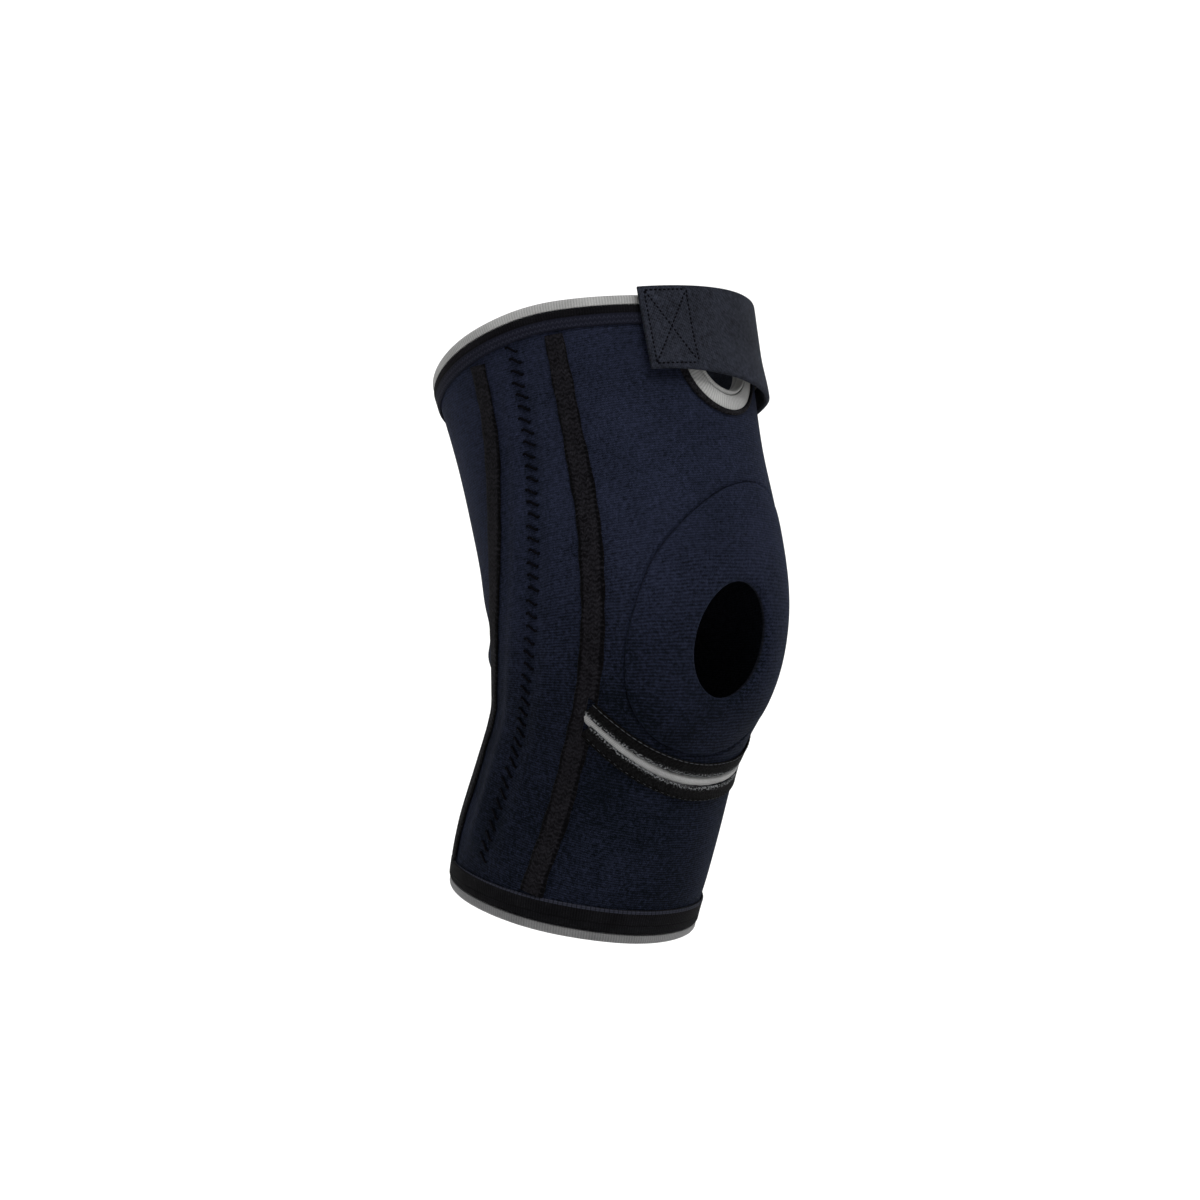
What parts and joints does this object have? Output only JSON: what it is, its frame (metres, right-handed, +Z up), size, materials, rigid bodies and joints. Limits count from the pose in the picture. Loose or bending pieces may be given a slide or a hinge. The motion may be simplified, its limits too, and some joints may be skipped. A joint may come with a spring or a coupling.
{
  "type": "knee sleeve",
  "caption": "Open-patella neoprene knee sleeve in its worn form, with side stays, a notched thigh rim and a short hook-and-loop strap.",
  "frame": {"origin": "middle of the leg at the knee bend, where the sleeve sits: the mount leg_seat", "axes": "+Z up along the leg at the knee, from shin to thigh; -Y to the front of the knee; -X to the wearer's right"},
  "size_m": [0.139, 0.1495, 0.2721],
  "materials": {
    "navy_neoprene": "knitted nylon facing",
    "black_tape": "stretch tape, flat-stitched",
    "gray_binding": "folded knit binding",
    "charcoal_strap": "brushed loop cloth",
    "hook_tab": "hook tape"
  },
  "bodies": {
    "root": {"upper_front_panel": "navy_neoprene", "lower_front_panel": "navy_neoprene", "side_panel_right": "navy_neoprene", "side_panel_left": "navy_neoprene", "back_panel": "navy_neoprene", "patella_pad": "navy_neoprene", "front_seam_tape_right": "black_tape", "front_seam_tape_left": "black_tape", "rear_seam_tape_right": "black_tape", "rear_seam_tape_left": "black_tape", "curved_piping": "gray_binding", "piping_tape_upper": "black_tape", "piping_tape_lower": "black_tape", "notch_binding": "gray_binding", "notch_tape": "black_tape", "top_binding": "gray_binding", "top_hem_tape": "black_tape", "bottom_binding": "gray_binding", "bottom_hem_tape": "black_tape", "strap": "charcoal_strap", "hook_tab": "hook_tab"}
  },
  "joints": []
}
